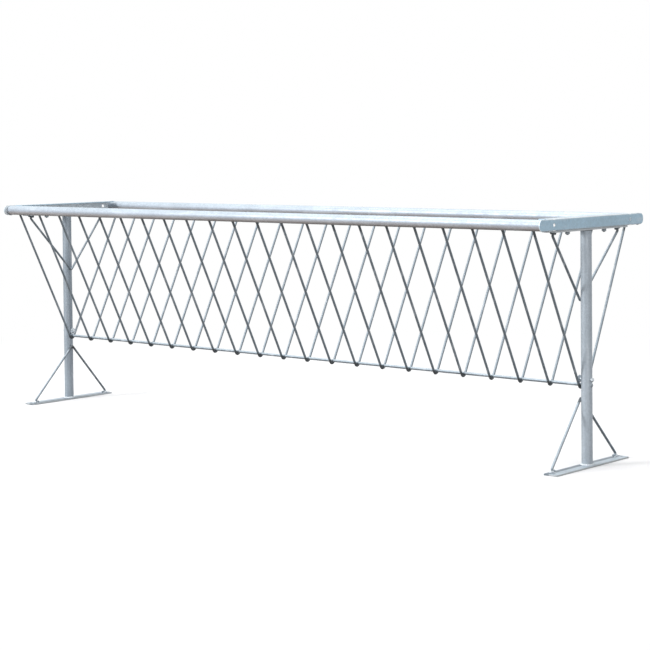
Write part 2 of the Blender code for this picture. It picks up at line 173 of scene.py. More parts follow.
def zinc(name, look):
    # Colour = tone by slope, painted shade underneath and painted light on top, mixed with the tints,
    # times crystals, times clouds, mixed with pale runs, times specks, times darker zinc by the welds and
    # painted shade.
    material = bpy.data.materials.new(name)
    material.use_nodes = True
    tree = material.node_tree
    shader = tree.nodes["Principled BSDF"]
    shader.inputs["Metallic"].default_value = look["metallic"]

    # The ramp's places, 0 to 1, stand for the slopes -1 to 1, which are the height of the normal.
    # Darker underneath and lighter on top by slope: painted shade and painted light.
    normal = addNode(tree, "ShaderNodeNewGeometry").outputs["Normal"]
    slope = addNode(tree, "ShaderNodeSeparateXYZ", {"Vector": normal}).outputs["Z"]
    lean = addNode(tree, "ShaderNodeMapRange", {"Value": slope, "From Min": -1.0, "From Max": 1.0})
    stops = [(0.5 + 0.5 * at, tint) for at, tint in look["paintedShadeBySlope"]]
    colour = rampOf(tree, lean.outputs["Result"], stops)
    for bands, share, tint in look["tints"]:
        for band in bands:
            share = mathOf(tree, "MULTIPLY", bandOf(tree, *band), share)
        colour = mixed(tree, "MIX", share, colour, tint)

    # Crystals of the zinc coat, each a little lighter or darker than its neighbours
    cells = {"Vector": stretchedCoordinates(tree, (1, 1, 1)), "Scale": look["spangleScale"]}
    crystals = addNode(tree, "ShaderNodeTexVoronoi", cells, feature="F1")
    crystal = addNode(tree, "ShaderNodeSeparateColor", {"Color": crystals.outputs["Color"]})
    shade = greyRamp(tree, crystal.outputs["Red"], (0.0, 1.0), 1 - look["spangle"], 1.0)
    colour = mixed(tree, "MULTIPLY", 1.0, colour, shade)

    # Broad clouds of duller zinc, and faint runs that follow the drain of the dip
    noise = noiseOf(tree, coat["cloudNoise"])
    clouds = greyRamp(tree, noise, coat["cloudLevels"], 1 - look["mottle"], 1.0)
    colour = mixed(tree, "MULTIPLY", 1.0, colour, clouds)
    noise = noiseOf(tree, coat["runNoise"], look["runStretch"])
    runs = greyRamp(tree, noise, coat["runLevels"], 0.0, look["bloom"])
    colour = mixed(tree, "MIX", runs, colour, look["bloomTone"])

    # Fine pitting and specks of ash caught in the coat
    noise = noiseOf(tree, coat["speckNoise"])
    specks = greyRamp(tree, noise, coat["speckLevels"], 1 - look["speck"], 1.0)
    colour = mixed(tree, "MULTIPLY", 1.0, colour, specks)

    # Darker zinc close to the welds, and painted shade under the rails, the head plates and the bottom bar
    for *band, depth in look["weldSootAndShade"]:
        share = mathOf(tree, "MULTIPLY", bandOf(tree, "Z", *band), depth)
        colour = mixed(tree, "MULTIPLY", share, colour, look["weldSootAndShadeTone"])
    tree.links.new(colour, shader.inputs["Base Color"])

    noise = noiseOf(tree, coat["polishNoise"])
    low, high = coat["polishLevels"]
    smooth, rough = look["roughness"]
    polish = addNode(tree, "ShaderNodeMapRange", {
        "Value": noise, "From Min": low, "From Max": high, "To Min": smooth, "To Max": rough})
    tree.links.new(polish.outputs["Result"], shader.inputs["Roughness"])

    # Relief: slow orange-peel waves of the dip, the crystals, then grain, each on the one before
    heights = {"waves": noiseOf(tree, coat["waveNoise"]), "relief": crystals.outputs["Distance"],
               "grain": noiseOf(tree, coat["grainNoise"])}
    before = {}
    for key, height in heights.items():
        inputs = {"Height": height, "Strength": look[key], "Distance": coat["depth"][key], **before}
        before = {"Normal": addNode(tree, "ShaderNodeBump", inputs).outputs["Normal"]}
    tree.links.new(before["Normal"], shader.inputs["Normal"])
    return material


# A tint is its bands, which multiply, then its share and its tone. A band is (axis, from, to, soft).
# Darker zinc by the welds with painted shade is (from, to, soft) in height, and then its depth.

baseLook = {
    "metallic": 0.35, "roughness": (0.42, 0.58), "spangle": 0.10, "spangleScale": 150.0,
    "mottle": 0.12, "bloom": 0.30, "bloomTone": tone(226, 232, 238), "runStretch": (14, 14, 1.6),
    "speck": 0.16, "waves": 0.25, "relief": 0.12, "grain": 0.10,
    "tints": [], "weldSootAndShade": [], "weldSootAndShadeTone": tone(120, 116, 112),
}
# The rails run from a dark line underneath to a light top by slope: painted shade and painted light.
railZinc = zinc("railZinc", {
    **baseLook, "runStretch": (1.6, 14, 14),
    "paintedShadeBySlope": [(-1.0, tone(70, 62, 58)), (-0.72, tone(146, 139, 135)), (-0.4, tone(175, 174, 177)),
                (0.0, tone(183, 193, 205)), (0.8, tone(199, 212, 223))]})
postZinc = {
    "right": zinc("postZinc", {
        **baseLook, "paintedShadeBySlope": paintedSlopeShade((120, 122, 126), (180, 190, 199), (222, 230, 237))}),
    # The left post's copy is darker all over: painted shade.
    "left": zinc("shadedPostZinc", {
        **baseLook, "mottle": 0.16,
        "paintedShadeBySlope": paintedSlopeShade((110, 112, 116), (160, 171, 181), (204, 212, 220))}),
}
barLook = {
    **baseLook, "spangleScale": 260.0,
    "paintedShadeBySlope": [(-0.42, tone(101, 109, 115)), (0.06, tone(136, 147, 156)), (0.8, tone(193, 206, 216))]}
bottomBarZinc = zinc("bottomBarZinc", barLook)
barZinc = zinc("barZinc", {
    **barLook,
    "weldSootAndShade": [(0.880, 0.910, 0.014, 0.65),        # painted shade below the rails and the head plates
             (0.284, 0.306, 0.010, 0.8),         # painted shade on the loops under the bottom bar
             (0.246, 0.262, 0.010, 0.8)]})       # painted shade where the foot braces meet the posts
plateZinc = zinc("plateZinc", {
    **baseLook, "runStretch": (14, 1.6, 14),
    "tints": [([("X", 1.444, 1.460, 0.005)], 0.9, tone(108, 120, 131))],        # painted shade along the hooks
    "paintedShadeBySlope": paintedSlopeShade((92, 92, 90), (192, 197, 200), (192, 205, 215))})
# Bands of an end member's web: its inner face, the walls of its holes, and where the holes are. The inner
# face and the hole walls are made pale: painted light.
webInsidePaintedLight = ("X", 1.4948, 1.4972, 0.0012)
webThroughPaintedLight = ("X", 1.4948, 1.4992, 0.0004)
webHoles = ("Y", 0.2528, 0.2672, 0.0008)
memberZinc = zinc("memberZinc", {
    **baseLook, "runStretch": (14, 1.6, 14), "speck": 0.24,
    "tints": [([webInsidePaintedLight], 0.9, tone(246, 250, 252)),
              ([webThroughPaintedLight, webHoles], 1.0, tone(252, 254, 254))],
    "paintedShadeBySlope": paintedSlopeShade((188, 197, 203), (180, 209, 227), (204, 217, 226))})
weldLook = {
    **baseLook, "spangleScale": 420.0, "spangle": 0.16, "waves": 0.6, "roughness": (0.45, 0.65)}
weldZinc = zinc("weldZinc", {
    **weldLook, "paintedShadeBySlope": paintedSlopeShade((96, 100, 104), (170, 180, 190), (222, 231, 238))})
# A paler copy of the weld zinc for the foot welds on the base plates: painted light.
litWeldZinc = zinc("litWeldZinc", {
    **weldLook, "spangle": 0.12,
    "paintedShadeBySlope": paintedSlopeShade((150, 156, 162), (214, 222, 230), (238, 244, 248))})
# A darker copy of the weld zinc for welds under the rails, the head plates and the bottom bar and at the
# foot braces' apex: painted shade.
shadedWeldZinc = zinc("shadedWeldZinc", {
    **weldLook, "paintedShadeBySlope": paintedSlopeShade((50, 54, 58), (88, 95, 101), (140, 150, 158))})
fastenerLook = {**baseLook, "metallic": 0.40, "spangle": 0.04, "spangleScale": 600.0}
fastenerZinc = zinc("fastenerZinc", {
    **fastenerLook, "roughness": (0.30, 0.44),
    "paintedShadeBySlope": paintedSlopeShade((96, 102, 107), (226, 234, 240), (236, 242, 246))})
shadedFastenerZinc = zinc("shadedFastenerZinc", {
    **fastenerLook, "roughness": (0.34, 0.50),
    "paintedShadeBySlope": paintedSlopeShade((60, 64, 68), (150, 158, 164), (206, 213, 218))})
print("materials made:", len(bpy.data.materials))


# Surfaces. A grid of points has rows along a profile or path and columns round it.

def gridFaces(rows, columns, offset, closed):
    # Quads between neighbours, with the columns always joined round, and the rows too where closed.
    # The end rows are capped by one face each where the rows are open.
    i = np.arange(rows if closed else rows - 1)[:, None]
    j = np.arange(columns)[None, :]
    nextI = (i + 1) % rows
    nextJ = (j + 1) % columns
    corners = [i * columns + j, i * columns + nextJ, nextI * columns + nextJ, nextI * columns + j]
    quads = np.stack(np.broadcast_arrays(*corners), axis=-1).reshape(-1, 4) + offset
    faces = quads.tolist()
    if not closed:
        ring = np.arange(columns) + offset
        faces.append(ring[::-1].tolist())
        faces.append((ring + (rows - 1) * columns).tolist())
    return faces


def settle(new, material, replaced):
    new.data.materials.clear()
    new.data.materials.append(material)
    bpy.context.scene.collection.objects.link(new)
    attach(new, "root")
    if replaced:
        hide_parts(*replaced)


def piece(name, shells, material, replaced=(), sharpAngle=38):
    # One object from closed shells, each a grid of points and whether its rows close.
    points = np.concatenate([grid.reshape(-1, 3) for grid, closed in shells])
    faces = []
    offset = 0
    for grid, closed in shells:
        rows, columns = grid.shape[:2]
        faces += gridFaces(rows, columns, offset, closed)
        offset += rows * columns
    mesh = bpy.data.meshes.new(name)
    mesh.from_pydata(points, [], faces)
    mesh.shade_smooth()
    mesh.set_sharp_from_angle(angle=math.radians(sharpAngle))
    settle(bpy.data.objects.new(name, mesh), material, replaced)


def swept(path, radii, reference, count):
    # P(s, angle) = path(s) + radius(s) (cos(angle) a + sin(angle) b). The tangent t comes by
    # differences, a is the reference made square to t, and b = t x a.
    tangent = np.gradient(path, axis=0)
    tangent /= np.linalg.norm(tangent, axis=1, keepdims=True)
    reference = np.array(reference, float)
    across = reference - tangent * (tangent @ reference)[:, None]
    across /= np.linalg.norm(across, axis=1, keepdims=True)
    up = np.cross(tangent, across)
    angle = np.linspace(0, 2 * np.pi, count, endpoint=False)[None, :, None]
    ring = across[:, None] * np.cos(angle) + up[:, None] * np.sin(angle)
    return path[:, None] + np.asarray(radii)[:, None, None] * ring


def helperFor(direction):
    # Up where the direction rises by less than half its length, and else x, so never along it.
    level = abs(direction[2]) < 0.5 * np.linalg.norm(direction)
    return np.array((0.0, 0.0, 1.0) if level else (1.0, 0.0, 0.0))


def ringAround(direction, angle):
    # cos(angle) a + sin(angle) b, where a and b are square to the direction and b = direction x a.
    across = np.cross(helperFor(direction), direction)
    across /= np.linalg.norm(across)
    up = np.cross(direction, across)
    return across * np.cos(angle)[:, None] + up * np.sin(angle)[:, None]


def turned(place, direction, profile, count, radiusLimit=None):
    # P(i, angle) = place + along(i) direction + radius(i) ring(angle). A radius limit by angle, such as
    # a hexagon's, cuts the radius down where it is smaller.
    direction = np.array(direction, float)
    along, radius = np.array(profile, float).T
    angle = np.linspace(0, 2 * np.pi, count, endpoint=False)
    reach = np.broadcast_to(radius[:, None], (len(radius), count))
    if radiusLimit is not None:
        reach = np.minimum(reach, radiusLimit(angle)[None, :])
    ring = ringAround(direction, angle)
    return np.array(place, float) + along[:, None, None] * direction + reach[:, :, None] * ring[None]


rod = {"columns": 16, "chamfer": 0.0008}


def rodGrid(path, radius, reference=(1, 0, 0), count=rod["columns"]):
    # A round bar along a path, with its two ends broken by a small chamfer.
    chamfer = rod["chamfer"]
    first = path[1] - path[0]
    last = path[-1] - path[-2]
    start = path[0] + first / np.linalg.norm(first) * chamfer
    stop = path[-1] - last / np.linalg.norm(last) * chamfer
    full = np.vstack([path[:1], start[None], path[1:-1], stop[None], path[-1:]])
    radii = np.full(len(full), radius)
    radii[[0, -1]] = radius - chamfer
    return swept(full, radii, reference, count)


def rodPiece(node, grid, material=barZinc):
    piece(node + "_rod", [(grid, False)], material, [node])


def arcPoints(centre, radius, start, stop, count):
    angle = np.linspace(start, stop, count)
    return np.stack([centre[0] + radius * np.cos(angle), centre[1] + radius * np.sin(angle)], axis=-1)


# Rails: outer side, rounded mouth, bore, rounded mouth

rail = {"wall": 0.0020, "mouthRound": 0.0005, "mouthPoints": 4, "columns": 96}


def tubeProfile(length, radius):
    # Rows of (along, radius): quarter circles at the far mouth, outer then inner, and at the near one.
    inner = radius - rail["wall"]
    soft = rail["mouthRound"]
    quarter = np.linspace(0, np.pi / 2, rail["mouthPoints"])
    sine, cosine = soft * np.sin(quarter), soft * np.cos(quarter)
    outTop = np.column_stack([length - soft + sine, radius - soft + cosine])
    inTop = np.column_stack([length - soft + cosine, inner + soft - sine])
    top = np.vstack([outTop, inTop])
    bottom = np.column_stack([length - top[::-1, 0], top[::-1, 1]])
    return np.vstack([top, bottom])


for side in sides:
    node = "rail_" + side
    low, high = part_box(node)
    centre = middle(node)
    profile = tubeProfile(high[0] - low[0], railRadius)
    grid = turned((low[0], centre[1], centre[2]), (1, 0, 0), profile, rail["columns"])
    piece(node + "_tube", [(grid, True)], railZinc, [node])
print("rails made")


# Plates, end members and posts keep the frame's outline, joined up and with eased edges

eased = {
    "plate": 0.0009, "member": 0.0007, "post": 0.0005, "segments": 2, "edgeAngle": 42,
    "joinWithin": 0.000002, "flatWithin": 1, "sharpAngle": 30,
}


def easedCopy(node, name, width, material):
    # The node's triangles are joined, the flat ones are merged into whole faces, then edges are rounded.
    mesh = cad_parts[node].data.copy()
    mesh.name = name
    work = bmesh.new()
    work.from_mesh(mesh)
    bmesh.ops.remove_doubles(work, verts=work.verts, dist=eased["joinWithin"])
    bmesh.ops.dissolve_limit(
        work, angle_limit=math.radians(eased["flatWithin"]), verts=work.verts, edges=work.edges)
    work.to_mesh(mesh)
    work.free()
    mesh.shade_smooth()
    mesh.set_sharp_from_angle(angle=math.radians(eased["sharpAngle"]))
    new = bpy.data.objects.new(name, mesh)
    settle(new, material, [node])
    bevel = new.modifiers.new("easedEdges", "BEVEL")
    bevel.width = width
    bevel.segments = eased["segments"]
    bevel.limit_method = "ANGLE"
    bevel.angle_limit = math.radians(eased["edgeAngle"])
    bevel.harden_normals = True


for end in ends:
    for kind, ending, width, material, slotName in (
            ("base_plate_", "_flat", eased["plate"], plateZinc, "flat_zinc"),
            ("head_plate_", "_flat", eased["plate"], plateZinc, "flat_zinc"),
            ("end_member_", "_fold", eased["member"], memberZinc, "flat_zinc"),
            ("post_", "_tube", eased["post"], postZinc[end], "tube_zinc")):
        easedCopy(kind + end, kind + end + ending, width, material)
print("plates, end members and posts eased")


# V bars: two straight legs tangent to a bend round the bottom bar

vBar = {"radius": 0.005, "seat": 0.0003, "bendPoints": 17}
bottomBar = {"radius": 0.006, "columns": 24}
sprung = {"start": 0.005, "rise": 0.050, "low": 0.019, "top": 0.007, "points": 24, "closeShare": 0.16}


def vPath():
    # Bend radius = bar radius + own radius + seat. The legs leave it at the lean angle where they are
    # tangent to the bend and aim at the rail axis, and they stop at the rail's underside.
    bend = bottomBar["radius"] + vBar["radius"] + vBar["seat"]
    reach = math.hypot(railY, railZ - barZ)
    lean = math.atan2(railY, railZ - barZ) - math.asin(bend / reach)
    length = math.sqrt(reach ** 2 - bend ** 2) - railRadius - vBar["seat"]
    turn = arcPoints((0.0, barZ), bend, math.pi + lean, 2 * math.pi - lean, vBar["bendPoints"])
    rise = np.array([math.sin(lean), math.cos(lean)]) * length
    return turn[0] + rise * (-1, 1), turn, turn[-1] + rise


def sprungOffset(z):
    # A smooth step 3t^2 - 2t^3 out to the post's far side, then a straight run to the rail.
    above = z - barZ - sprung["start"]
    share = np.clip(above / sprung["rise"], 0, 1)
    run = np.maximum(above - sprung["rise"], 0) / (railZ - barZ - sprung["start"] - sprung["rise"])
    return share ** 2 * (3 - 2 * share) * (sprung["low"] + (sprung["top"] - sprung["low"]) * run)


frontEnd, turnPoints, rearEnd = vPath()
plainV = np.vstack([frontEnd[None], turnPoints, rearEnd[None]])
vNodes = sorted(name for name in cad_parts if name.startswith("v_bar_"))
lastX = -middle(vNodes[0])[0]        # the last bar's front leg mirrors the first bar
vPlaces = [middle(node)[0] for node in vNodes[:-1]] + [lastX]
for node, x in zip(vNodes[:-1], vPlaces):
    path = np.column_stack([np.full(len(plainV), x), plainV])
    rodPiece(node, rodGrid(path, vBar["radius"]))

# The last bar's rear leg is sprung round the post, with its points closer together near the bend.
swing = np.linspace(turnPoints[-1], rearEnd, sprung["points"] + 1)[1:]
share = np.linspace(0, sprung["closeShare"], sprung["points"])[1:, None]
near = turnPoints[-1] + (rearEnd - turnPoints[-1]) * share
legPoints = np.vstack([near, swing[swing[:, 1] > near[-1, 1]]])
flat = np.vstack([frontEnd[None], turnPoints, legPoints])
offsets = np.concatenate([np.zeros(1 + len(turnPoints)), sprungOffset(legPoints[:, 1])])
rodPiece(vNodes[-1], rodGrid(np.column_stack([lastX + offsets, flat]), vBar["radius"]))

barHalf = halfSize("bottom_bar")[0]
barPath = np.array([(-barHalf, 0, barZ), (0, 0, barZ), (barHalf, 0, barZ)])
barGrid = rodGrid(barPath, bottomBar["radius"], (0, 0, 1), bottomBar["columns"])
rodPiece("bottom_bar", barGrid, bottomBarZinc)
print("V bars and bottom bar made:", len(vNodes))


# Braces: straight runs with rounded corners and a flat hook at each end. The way off the plate's face is
# up for the foot braces and down for the upper ones.

brace = {
    "radius": 0.005, "bendRadius": 0.007, "hook": 0.025, "seat": 0.0003, "bendPoints": 11,
    "foot": {"spread": 0.452, "apexZ": 0.258, "wayOff": 1},
    "upper": {"spread": 0.460, "apexZ": 0.622, "wayOff": -1},
}


def roundedPath(corners, radius):
    # Each inner corner gives way to an arc that touches both runs. Half the angle between the runs sets
    # how far back the arc starts, radius / tan, and how far its centre lies, radius / sin.
    points = [corners[0][None]]
    for before, corner, after in zip(corners, corners[1:], corners[2:]):
        toBefore = (before - corner) / np.linalg.norm(before - corner)
        toAfter = (after - corner) / np.linalg.norm(after - corner)
        half = math.acos(float(toBefore @ toAfter)) / 2
        middleWay = toBefore + toAfter
        centre = corner + middleWay / np.linalg.norm(middleWay) * radius / math.sin(half)
        first = corner + toBefore * radius / math.tan(half) - centre
        last = corner + toAfter * radius / math.tan(half) - centre
        start = math.atan2(first[1], first[0])
        sweep = (math.atan2(last[1], last[0]) - start + math.pi) % (2 * math.pi) - math.pi
        points.append(arcPoints(centre, radius, start, start + sweep, brace["bendPoints"]))
    points.append(corners[-1][None])
    return np.vstack(points)


def bracePath(node, kind):
    # The hooks lie on the plate's face. The brace leans: x runs straight from the post's inner side at
    # the middle bend to the hooks.
    look = brace[kind]
    flatZ = plateFaces[kind] + look["wayOff"] * (brace["seat"] + brace["radius"])
    out = look["spread"] / 2
    inner = out - brace["hook"]
    corners = [(-inner, flatZ), (-out, flatZ), (0.0, look["apexZ"]), (out, flatZ), (inner, flatZ)]
    flat = roundedPath(np.array(corners), brace["bendRadius"])
    bendX, hookX = (middle(node)[0] + way * (halfSize(node)[0] - brace["radius"]) for way in (-1, 1))
    if hookX < 0:
        bendX, hookX = hookX, bendX
    bendZ = flat[len(flat) // 2, 1]
    share = (flat[:, 1] - bendZ) / (flatZ - bendZ)
    return np.column_stack([bendX + (hookX - bendX) * share, flat])


bracePaths = {}
for end in ends:
    for kind in plateFaces:
        node = kind + "_brace_" + end
        bracePaths[kind, end] = bracePath(node, kind)
        rodPiece(node, rodGrid(bracePaths[kind, end], brace["radius"]))
print("braces made")


# Weld beads. Sizes are radii of the beads, seeds start each kind's own random ripples, and points are
# where a bead starts and stops, measured from the place that it belongs to.

weld = {
    "ripple": 0.16, "wander": ((2, 0.10), (5, 0.07)), "phaseLimit": 6, "pointsPerRipple": 6, "columns": 12,
    "tipCut": 0.004, "sharpAngle": 70, "grindBelow": 0.0002,
    "footRing": {"size": 0.0048, "ripples": 26, "seed": 11, "lift": 0.001},
    "upperRing": {"size": 0.0036, "ripples": 26, "seed": 21, "lift": 0.0},
    "barRing": {"size": 0.0022, "ripples": 9, "seed": 31},
    "railRing": {"size": 0.0028, "ripples": 24, "seed": 71},
    "footHook": {"size": 0.0026, "ripples": 5, "seed": 43},
    "upperHook": {"size": 0.0026, "ripples": 5, "seed": 40},
    "hookAside": 0.85, "hookStart": 0.010, "hookSeedStep": 7,
    "footBend": {"size": 0.0070, "ripples": 2, "seed": 80, "lift": 0.0025},
    "upperBend": {"size": 0.0048, "ripples": 2, "seed": 80, "lift": -0.0026},
    "bendReach": (0.007, -0.019),
    "apex": {"size": 0.0040, "ripples": 3, "seed": 60, "points": ((0.0035, 0.001), (0.0115, 0.010))},
    "railSpot": {"size": 0.0030, "ripples": 2, "seed": 100,
                 "points": ((0.0036, -0.002, -0.0045), (0.0040, 0.001, 0.0015))},
    "loop": {"size": 0.0032, "ripples": 2, "seed": 200,
             "points": ((-0.0052, 0.0046, -0.0030), (0.0052, 0.0046, -0.0034))},
}


def ringBead(centre, direction, radius, look, seedStep):
    # A ring whose thickness m(a) = size (1 + ripple sin(n a) + a slow wander), round the circle of the
    # given radius. P(a, b) = centre + (radius + m cos b) out(a) + m sin b direction
    rng = np.random.default_rng(look["seed"] + seedStep)
    direction = np.array(direction, float)
    angle = np.linspace(0, 2 * np.pi, look["ripples"] * weld["pointsPerRipple"], endpoint=False)
    wander = sum(share * np.sin(turns * angle + rng.uniform(0, weld["phaseLimit"]))
                 for turns, share in weld["wander"])
    thick = look["size"] * (1 + weld["ripple"] * np.sin(look["ripples"] * angle) + wander)
    turn = np.linspace(0, 2 * np.pi, weld["columns"], endpoint=False)
    reach = radius + thick[:, None] * np.cos(-turn)
    lift = thick[:, None] * np.sin(-turn)
    out = ringAround(direction, angle)
    return np.array(centre, float) + reach[:, :, None] * out[:, None] + lift[:, :, None] * direction


def lineBead(start, stop, look, seedStep):
    # A capsule whose radius m(s) = size (1 - (2s - 1)^4)^(1/2) (1 + ripple sin(2 pi n s)).
    rng = np.random.default_rng(look["seed"] + seedStep)
    ripples = look["ripples"]
    s = np.linspace(weld["tipCut"], 1 - weld["tipCut"], ripples * weld["pointsPerRipple"])
    wave = 1 + weld["ripple"] * np.sin(2 * np.pi * ripples * s + rng.uniform(0, weld["phaseLimit"]))
    radii = look["size"] * np.sqrt(1 - (2 * s - 1) ** 4) * wave
    start = np.array(start, float)
    path = start + (np.array(stop, float) - start) * s[:, None]
    return swept(path, radii, helperFor(path[-1] - path[0]), weld["columns"])


def weldPiece(name, rings, lines, material):
    shells = [(grid, True) for grid in rings] + [(grid, False) for grid in lines]
    piece(name, shells, material, sharpAngle=weld["sharpAngle"])


def hookBeads(kind, end):
    # Along both sides of each hook, from close to its bend to its end
    beads = []
    look = weld[kind + "Hook"]
    faceZ = plateFaces[kind]
    half = brace[kind]["spread"] / 2
    for number, toward in enumerate(sides.values()):
        startY = toward * (half - weld["hookStart"])
        stopY = toward * (half - brace["hook"])
        for shift in (-1, 1):
            x = bracePaths[kind, end][0, 0] + shift * brace["radius"] * weld["hookAside"]
            seedStep = number * weld["hookSeedStep"] + shift
            beads.append(lineBead((x, startY, faceZ), (x, stopY, faceZ), look, seedStep))
    return beads


def bendBeads(kind, end):
    # A blob over each hook's bend
    beads = []
    look = weld[kind + "Bend"]
    x = bracePaths[kind, end][0, 0]
    z = plateFaces[kind] + look["lift"]
    half = brace[kind]["spread"] / 2
    for number, toward in enumerate(sides.values()):
        start, stop = ((x, toward * (half + reach), z) for reach in weld["bendReach"])
        beads.append(lineBead(start, stop, look, number + 2 * ends[end]))
    return beads


def apexBeads(kind, end):
    # On both sides of the middle bend, toward the plate, where the brace meets the post
    beads = []
    look = weld["apex"]
    path = bracePaths[kind, end]
    x = ends[end] * (postX - postRadius)
    for toward in sides.values():
        start, stop = ((x, toward * y, path[len(path) // 2, 2] - brace[kind]["wayOff"] * z)
                       for y, z in look["points"])
        beads.append(lineBead(start, stop, look, toward))
    return beads


for end, sign in ends.items():
    rings = {}
    for kind, faceZ in plateFaces.items():
        look = weld[kind + "Ring"]
        centre = (sign * postX, 0, faceZ + look["lift"])
        rings[kind] = ringBead(centre, (0, 0, 1), postRadius, look, sign)
    centre = (sign * (postX + postRadius), 0, barZ)
    barRing = ringBead(centre, (1, 0, 0), bottomBar["radius"], weld["barRing"], sign)
    name = "post_" + end
    footLines = hookBeads("foot", end) + bendBeads("foot", end)
    headLines = hookBeads("upper", end) + apexBeads("upper", end)
    braceLines = bendBeads("upper", end) + apexBeads("foot", end)
    weldPiece(name + "_foot_welds", [rings["foot"]], footLines, litWeldZinc)
    weldPiece(name + "_head_welds", [rings["upper"]], headLines, weldZinc)
    weldPiece(name + "_brace_welds", [], braceLines, shadedWeldZinc)
    weldPiece(name + "_bar_weld", [barRing], [], weldZinc)

for side, toward in sides.items():
    beads = []
    for sign in ends.values():
        centre = (sign * railEnd, toward * railY, railZ)
        ring = ringBead(centre, (1, 0, 0), railRadius, weld["railRing"], sign + toward)
        # Ground flush with the end member's top
        ring[:, :, 2] = np.minimum(ring[:, :, 2], memberTop - weld["grindBelow"])
        beads.append(ring)
    weldPiece("rail_" + side + "_end_welds", beads, [], weldZinc)

    beads = []
    look = weld["railSpot"]
    tip = frontEnd if toward < 0 else rearEnd
    for number, x in enumerate(vPlaces):
        if toward > 0 and number == len(vPlaces) - 1:
            x = x + sprung["top"]
        for shift in (-1, 1):
            start, stop = ((x + shift * dx, tip[0] + dy * toward, tip[1] + dz)
                           for dx, dy, dz in look["points"])
            beads.append(lineBead(start, stop, look, 2 * number + shift + toward))
    weldPiece("rail_" + side + "_bar_welds", [], beads, shadedWeldZinc)

beads = []
look = weld["loop"]
for number, x in enumerate(vPlaces):
    for toward in sides.values():
        start, stop = ((x + dx, toward * dy, barZ + dz) for dx, dy, dz in look["points"])
        beads.append(lineBead(start, stop, look, 2 * number + toward))
weldPiece("bottom_bar_welds", [], beads, shadedWeldZinc)
print("weld beads made")


# Fasteners: hexagons with turned chamfers, and threads on the ends that stand out

fastener = {
    "flange": {"shank": 0.0050, "flats": 0.017, "head": 0.0064, "nut": 0.0084, "length": 0.025,
               "pitch": 0.00150, "washerGap": 0.0002},
    "post": {"shank": 0.0040, "flats": 0.013, "head": 0.0053, "nut": 0.0068, "length": 0.070,
             "pitch": 0.00125, "washerGap": 0.00025},
    "threadLength": 0.018, "overlap": 0.0005, "nutGap": 0.0002, "boreRound": 0.0006,
    "washerRound": 0.0003, "hexColumns": 72, "shankColumns": 32, "washerColumns": 64,
    "rimShare": 0.96, "chamferAngle": 30, "chamferFrom": 0.15, "chamferRows": 7,
}
# The thread's depth is a share of its pitch, cut and tip are shares of the depth, fade is in pitches.
thread = {"rowsPerPitch": 7, "depth": 0.61, "cut": 0.85, "tip": 0.9, "fade": 0.9}


def hexRadius(flats):
    # Distance to the nearest flat: (flats / 2) / cos of the angle from that flat's middle.
    def reach(angle):
        return flats / 2 / np.cos((angle + np.pi / 6) % (np.pi / 3) - np.pi / 6)
    return reach


def hexProfile(flats, height, bothEnds):
    # Rows of (along, radius). At a chamfered face a circle a little inside the flats opens at the
    # chamfer's angle until it clears the corners, corner = flats / sqrt(3).
    corner = flats / math.sqrt(3)
    rim = flats / 2 * fastener["rimShare"]
    depth = (corner - rim) * math.tan(math.radians(fastener["chamferAngle"]))
    opening = np.linspace(fastener["chamferFrom"], 1, fastener["chamferRows"])
    closing = np.linspace(1, fastener["chamferFrom"], fastener["chamferRows"])
    low = [(0.0, rim), *((depth * t, rim + (corner - rim) * t) for t in opening)]
    high = [*((height - depth * t, rim + (corner - rim) * t) for t in closing), (height, rim)]
    return (low if bothEnds else [(0.0, corner)]) + high


def threadGrid(place, direction, radius, pitch, start, stop):
    # r(s, angle) = radius - depth * triangle wave of (s / pitch - angle / turn), less a chamfer that
    # grows over the last part of a pitch.
    count = fastener["shankColumns"]
    rows = np.arange(start, stop, pitch / thread["rowsPerPitch"])
    grid = turned(place, direction, np.column_stack([rows, np.full(len(rows), radius)]), count)
    angle = np.linspace(0, 1, count, endpoint=False)[None, :]
    phase = (rows[:, None] / pitch - angle) % 1
    depth = thread["depth"] * pitch
    fade = np.clip((stop - rows) / (pitch * thread["fade"]), 0, 1)[:, None]
    cut = depth * (1 - np.abs(2 * phase - 1)) * thread["cut"]
    reach = radius - cut - depth * thread["tip"] * (1 - fade)
    axis = np.array(place, float) + rows[:, None, None] * np.array(direction, float)
    return axis + (grid - axis) * (reach / radius)[:, :, None]


def boltShells(size, place, direction):
    # The place is under the head, and the direction runs from the tip to the head.
    profile = hexProfile(size["flats"], size["head"], False)
    head = turned(place, direction, profile, fastener["hexColumns"], hexRadius(size["flats"]))
    back = -np.array(direction, float)
    plain = size["length"] - fastener["threadLength"]
    profile = [(0.0, size["shank"]), (plain + fastener["overlap"], size["shank"])]
    shank = turned(place, back, profile, fastener["shankColumns"])
    threads = threadGrid(place, back, size["shank"], size["pitch"], plain, size["length"])
    return [(head, False), (shank, False), (threads, False)]


def nutShells(size, place, direction):
    bore = size["shank"] + fastener["nutGap"]
    soft = fastener["boreRound"]
    profile = hexProfile(size["flats"], size["nut"], True) + [
        (size["nut"], bore + soft), (size["nut"] - soft, bore), (soft, bore), (0.0, bore + soft)]
    grid = turned(place, direction, profile, fastener["hexColumns"], hexRadius(size["flats"]))
    return [(grid, True)]


def washerShells(size, node, direction):
    # A flat ring with its four edges chamfered, as thick and as wide as the node's box.
    half = halfSize(node)
    axis = int(np.argmax(np.abs(direction)))
    thick = 2 * half[axis]
    outer = half[(axis + 1) % 3]
    bore = size["shank"] + size["washerGap"]
    soft = fastener["washerRound"]
    profile = [(0, bore + soft), (0, outer - soft), (soft, outer), (thick - soft, outer),
               (thick, outer - soft), (thick, bore + soft), (thick - soft, bore), (soft, bore)]
    place = middle(node) - np.array(direction, float) * half[axis]
    return [(turned(place, direction, profile, fastener["washerColumns"]), True)]


def face(node, axis, sign):
    # Middle of the node's box on one of its faces.
    place = middle(node)
    place[axis] += sign * halfSize(node)[axis]
    return place


def fastenerPiece(node, ending, shells, material):
    piece(node + ending, shells, material, [node])


